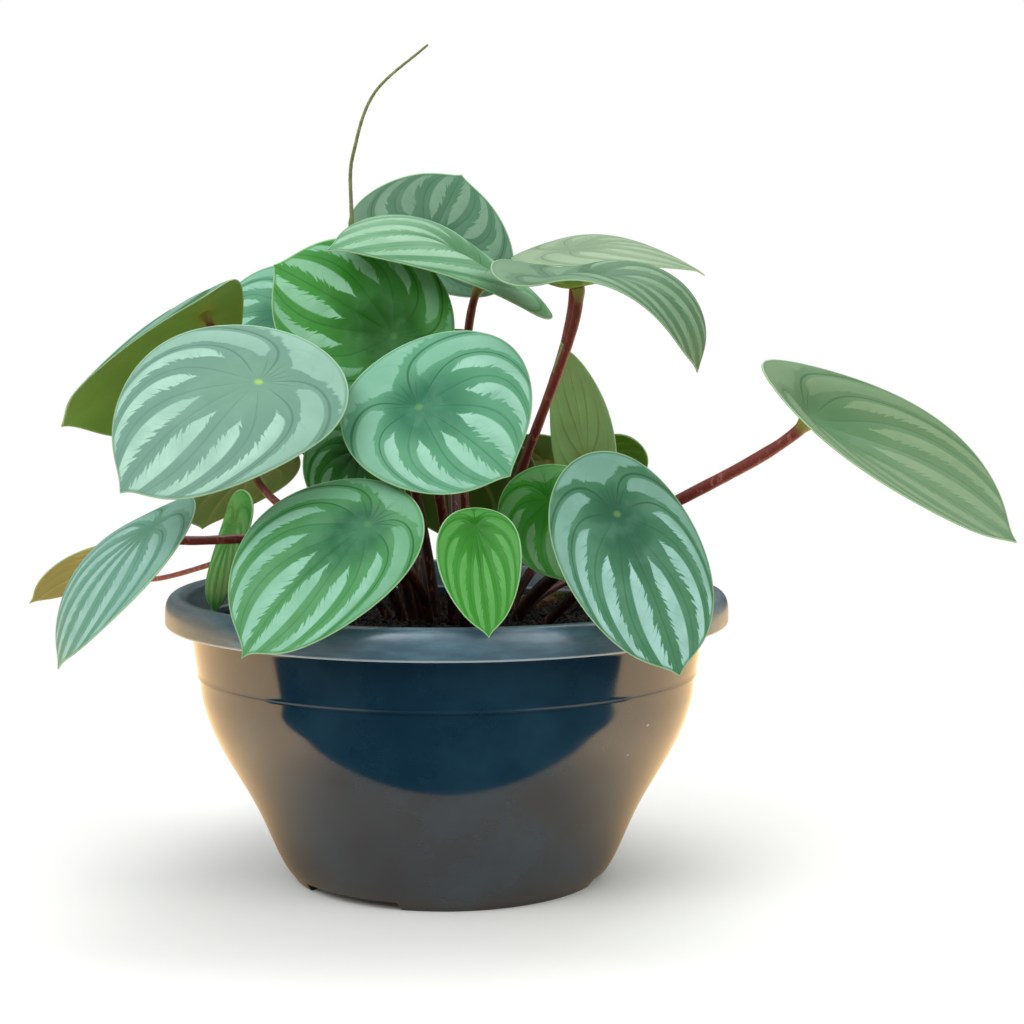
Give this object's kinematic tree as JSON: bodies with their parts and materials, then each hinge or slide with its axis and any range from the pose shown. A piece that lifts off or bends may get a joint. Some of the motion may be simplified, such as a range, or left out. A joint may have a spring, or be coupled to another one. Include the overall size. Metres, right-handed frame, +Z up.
{
  "type": "potted peperomia",
  "caption": "Watermelon peperomia in a dark round bowl planter: silver-striped teardrop leaves on thin red petioles rise from soil, with one slender flower spike.",
  "frame": {"origin": "on the surface that the planter stands on, on the axis of the planter", "axes": "+Z up along the planter's axis, -Y towards the viewer, +X to the viewer's right"},
  "size_m": [0.3635, 0.2408, 0.3094],
  "materials": {
    "pot": "satin gloss",
    "soil": "crumbly, matt",
    "moss_clump": "matt",
    "bark_chip": "matt",
    "blade": "waxy satin",
    "petiole": "satin",
    "flower_spike": "matt"
  },
  "bodies": {
    "root": {"bark_chip": "bark_chip", "blade_back_centre": "blade", "blade_back_left": "blade", "blade_back_right": "blade", "blade_behind_centre": "blade", "blade_behind_left": "blade", "blade_far_left": "blade", "blade_far_right": "blade", "blade_folded_right": "blade", "blade_front_centre": "blade", "blade_front_left": "blade", "blade_inner_centre": "blade", "blade_inner_left": "blade", "blade_low_back": "blade", "blade_low_front_left": "blade", "blade_low_front_right": "blade", "blade_low_left": "blade", "blade_low_left_back": "blade", "blade_low_right": "blade", "blade_low_right_back": "blade", "blade_mid_left": "blade", "blade_olive_right": "blade", "blade_right_back": "blade", "blade_right_front": "blade", "blade_small_centre": "blade", "blade_top_arched": "blade", "blade_top_back": "blade", "blade_upper_left": "blade", "flower_spike": "flower_spike", "moss_clump": "moss_clump", "petiole_back_centre": "petiole", "petiole_back_left": "petiole", "petiole_back_right": "petiole", "petiole_behind_centre": "petiole", "petiole_behind_left": "petiole", "petiole_far_left": "petiole", "petiole_far_right": "petiole", "petiole_folded_right": "petiole", "petiole_front_centre": "petiole", "petiole_front_left": "petiole", "petiole_inner_centre": "petiole", "petiole_inner_left": "petiole", "petiole_low_back": "petiole", "petiole_low_front_left": "petiole", "petiole_low_front_right": "petiole", "petiole_low_left": "petiole", "petiole_low_left_back": "petiole", "petiole_low_right": "petiole", "petiole_low_right_back": "petiole", "petiole_mid_left": "petiole", "petiole_olive_right": "petiole", "petiole_right_back": "petiole", "petiole_right_front": "petiole", "petiole_small_centre": "petiole", "petiole_top_arched": "petiole", "petiole_top_back": "petiole", "petiole_upper_left": "petiole", "pot": "pot", "soil": "soil"}
  },
  "joints": []
}
